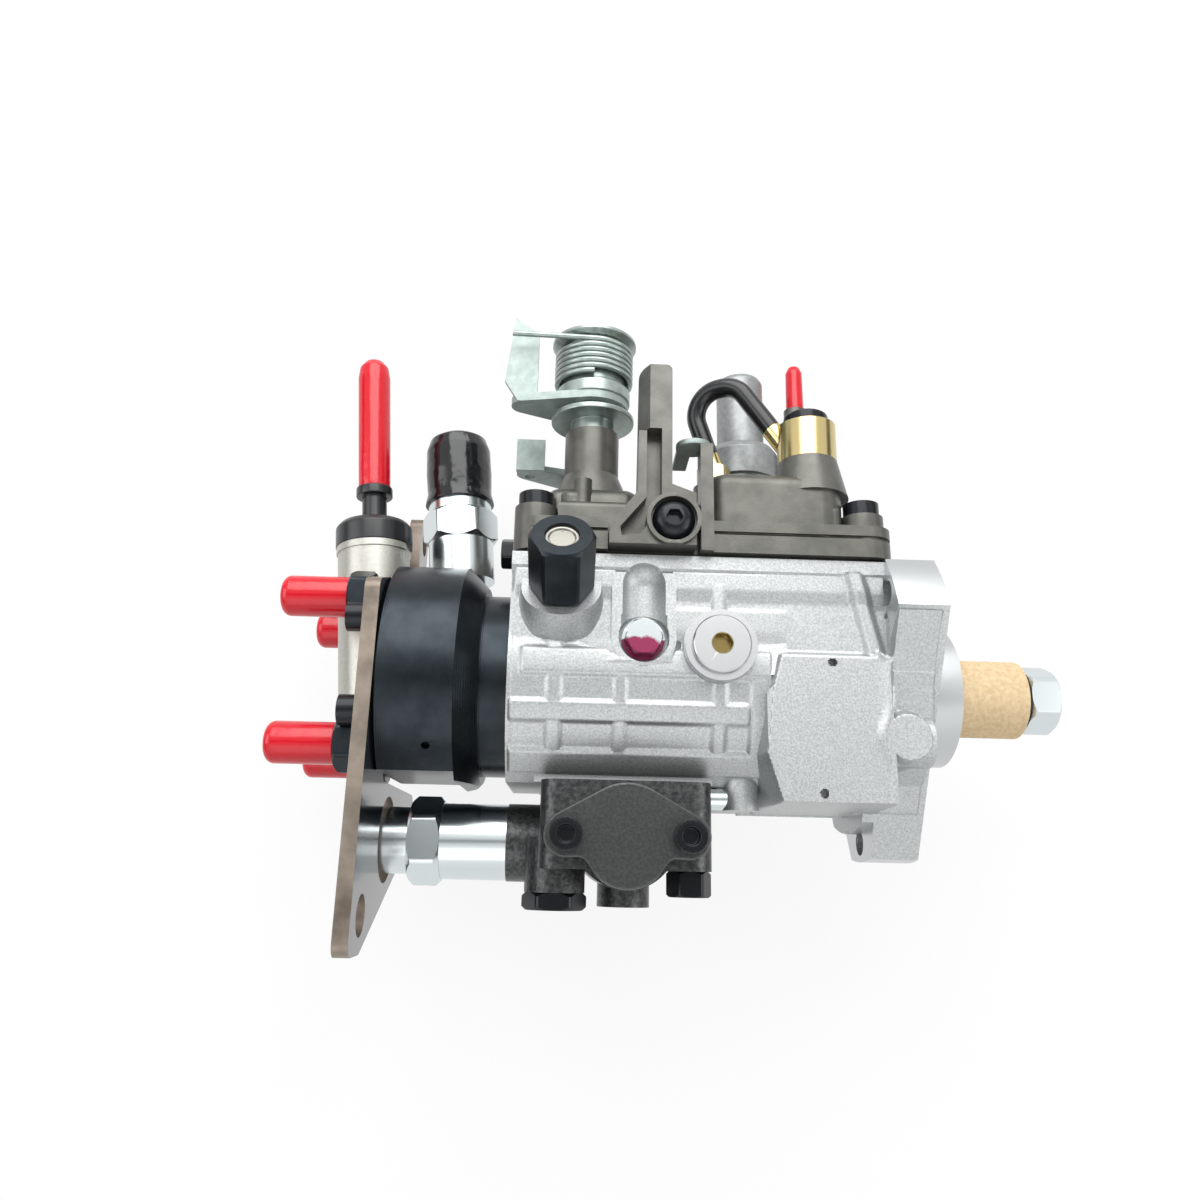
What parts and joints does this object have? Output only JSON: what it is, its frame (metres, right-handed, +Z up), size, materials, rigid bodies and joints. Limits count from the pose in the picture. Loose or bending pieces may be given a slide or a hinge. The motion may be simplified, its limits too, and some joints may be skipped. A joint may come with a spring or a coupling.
{
  "type": "diesel injection pump",
  "caption": "Flange-mounted rotary diesel injection pump with a turned head, capped outlets, advance unit, governor cover, throttle lever and drive shaft.",
  "frame": {"origin": "centre of the mounting flange's engine face, on the drive shaft's axis", "axes": "+X out along the drive shaft towards the engine, +Y away from the side with the plugs, +Z up towards the throttle lever"},
  "size_m": [0.2738, 0.1247, 0.227],
  "materials": {
    "cast_aluminium": "shot-blasted die casting, fine grain",
    "machined_aluminium": "bright turned",
    "cover_casting": "grey-brown satin casting",
    "black_oxide": "blackened steel, semi-gloss",
    "black_plate": "glossy black plate",
    "black_screw": "black oxide",
    "zinc_plate": "bright zinc plated",
    "satin_zinc": "satin grey-beige casting",
    "red_vinyl": "gloss red dip-moulded cap",
    "black_vinyl": "gloss black dip-moulded cap",
    "black_plastic": "black moulding",
    "cast_iron": "dark grainy casting",
    "dark_steel": "dark specked plate",
    "brass": "bright brass",
    "rubber": "smooth black rubber",
    "kraft_paper": "plain brown kraft paper",
    "steel": "ground steel",
    "bronze": "sintered bronze",
    "gasket": "dark gasket sheet",
    "pale_insert": "pale satin plug"
  },
  "bodies": {
    "pump_body": {"main_housing": "cast_aluminium", "hydraulic_head": "black_oxide", "support_plate": "black_plate", "lifting_plate": "black_plate", "plate_screws": "black_screw", "outlet_unions": "black_oxide", "outlet_caps": "red_vinyl", "solenoid_body": "satin_zinc", "solenoid_cap": "black_plastic", "solenoid_terminal_cap": "red_vinyl", "return_union": "zinc_plate", "return_union_cap": "black_vinyl", "inlet_union": "zinc_plate", "advance_housing": "cast_iron", "advance_cover": "dark_steel", "advance_screws": "black_screw", "advance_plug": "black_screw", "advance_sensor": "black_screw", "advance_spring": "steel", "shaft_seal": "rubber", "shaft_bush": "bronze", "cover_gasket": "gasket", "control_cover": "cover_casting", "cover_bolts": "black_screw", "cover_bracket": "cover_casting", "boost_capsule": "machined_aluminium", "banjo_ring": "brass", "banjo_bolt": "black_screw", "brass_elbow": "brass", "vent_hose": "rubber", "vent_cap": "red_vinyl", "idle_stop_plate": "zinc_plate", "throttle_spring": "zinc_plate", "governor_spring": "steel", "seal_plug": "black_oxide", "seal_insert": "pale_insert", "lock_bolt": "zinc_plate", "timing_plug": "machined_aluminium", "drain_stub": "zinc_plate"},
    "drive_line": {"drive_shaft": "steel", "paper_wrap": "kraft_paper", "nut_washer": "black_screw", "shaft_nut": "zinc_plate", "distributor_rotor": "steel", "plungers_and_rollers": "steel", "governor_cage": "steel"},
    "sleeve": {"thrust_sleeve": "steel"},
    "weight_upper": {"governor_weight_upper": "steel"},
    "weight_lower": {"governor_weight_lower": "steel"},
    "arm": {"governor_arm": "steel"},
    "link": {"governor_link": "steel"},
    "valve": {"metering_valve": "steel"},
    "cam": {"cam_ring": "steel"},
    "piston": {"advance_piston": "steel"},
    "throttle": {"throttle_shaft": "zinc_plate", "throttle_washers": "zinc_plate", "throttle_lever": "zinc_plate", "spring_cup": "zinc_plate"},
    "stop": {"stop_lever": "zinc_plate"},
    "core": {"solenoid_core": "steel"}
  },
  "joints": [
    {"name": "drive_spin", "type": "hinge", "parent": "pump_body", "child": "drive_line", "pos_m": [0, 0, 0], "axis": [1, 0, 0], "continuous": true},
    {"name": "sleeve_slide", "type": "slide", "parent": "drive_line", "child": "sleeve", "axis": [1, 0, 0], "range_m": [0, 0.0015]},
    {"name": "weight_upper_swing", "type": "hinge", "parent": "drive_line", "child": "weight_upper", "pos_m": [-0.075, 0, 0.02], "axis": [0, -1, 0], "range_deg": [0, 12]},
    {"name": "weight_lower_swing", "type": "hinge", "parent": "drive_line", "child": "weight_lower", "pos_m": [-0.075, 0, -0.02], "axis": [0, 1, 0], "range_deg": [0, 12]},
    {"name": "arm_swing", "type": "hinge", "parent": "pump_body", "child": "arm", "pos_m": [-0.0564, 0, 0.029], "axis": [0, -1, 0], "range_deg": [0, 3]},
    {"name": "link_slide", "type": "slide", "parent": "pump_body", "child": "link", "axis": [-1, 0, 0], "range_m": [0, 0.00095]},
    {"name": "valve_turn", "type": "hinge", "parent": "pump_body", "child": "valve", "pos_m": [-0.12, 0, 0.03], "axis": [0, 0, 1], "range_deg": [0, 7.7]},
    {"name": "advance_slide", "type": "slide", "parent": "pump_body", "child": "piston", "axis": [0, 1, 0], "range_m": [-0.0036, 0.0036], "deforming": ["advance_spring"]},
    {"name": "cam_turn", "type": "hinge", "parent": "pump_body", "child": "cam", "pos_m": [-0.099, 0, 0], "axis": [1, 0, 0], "range_deg": [-4, 4]},
    {"name": "throttle_swing", "type": "hinge", "parent": "pump_body", "child": "throttle", "pos_m": [-0.114, -0.02, 0.1], "axis": [0, 0, 1], "range_deg": [0, 50], "deforming": ["throttle_spring", "governor_spring"]},
    {"name": "stop_swing", "type": "hinge", "parent": "pump_body", "child": "stop", "pos_m": [-0.118, 0.016, 0.088], "axis": [0, 0, 1], "range_deg": [-15, 30]},
    {"name": "core_lift", "type": "slide", "parent": "pump_body", "child": "core", "axis": [-0.0872, 0, 0.9962], "range_m": [0, 0.003]}
  ],
  "couplings": [
    {"joint": "weight_upper_swing", "follows": "sleeve_slide", "rad_per_m": 139.63},
    {"joint": "weight_lower_swing", "follows": "sleeve_slide", "rad_per_m": 139.63},
    {"joint": "arm_swing", "follows": "sleeve_slide", "rad_per_m": 34.483},
    {"joint": "link_slide", "follows": "sleeve_slide", "ratio": 0.62069},
    {"joint": "valve_turn", "follows": "sleeve_slide", "rad_per_m": 88.67},
    {"joint": "cam_turn", "follows": "advance_slide", "rad_per_m": 19.231}
  ]
}
